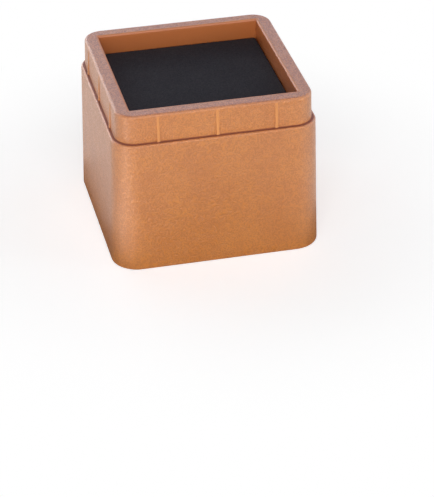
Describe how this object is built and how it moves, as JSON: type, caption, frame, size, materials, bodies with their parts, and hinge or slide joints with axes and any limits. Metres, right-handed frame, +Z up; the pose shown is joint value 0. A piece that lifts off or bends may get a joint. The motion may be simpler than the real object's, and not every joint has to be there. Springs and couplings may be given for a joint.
{
  "type": "bed riser",
  "caption": "Square stackable furniture riser: a stepped neck with friction ribs holds a padded leg recess, and the hollow webbed underside plugs onto the neck below.",
  "frame": {"origin": "centre of the bottom edge's plane, where the riser stands on the floor", "axes": "+Z up along the axis of the square plan; X and Y along the sides of the square"},
  "size_m": [0.096, 0.096, 0.076],
  "materials": {
    "moulded_body": "caramel brown, fine moulded grain outside, smoother in the recess",
    "foam_pad": "dark closed-cell foam, matte"
  },
  "bodies": {
    "root": {"riser_body": "moulded_body", "leg_pad": "foam_pad"}
  },
  "joints": []
}
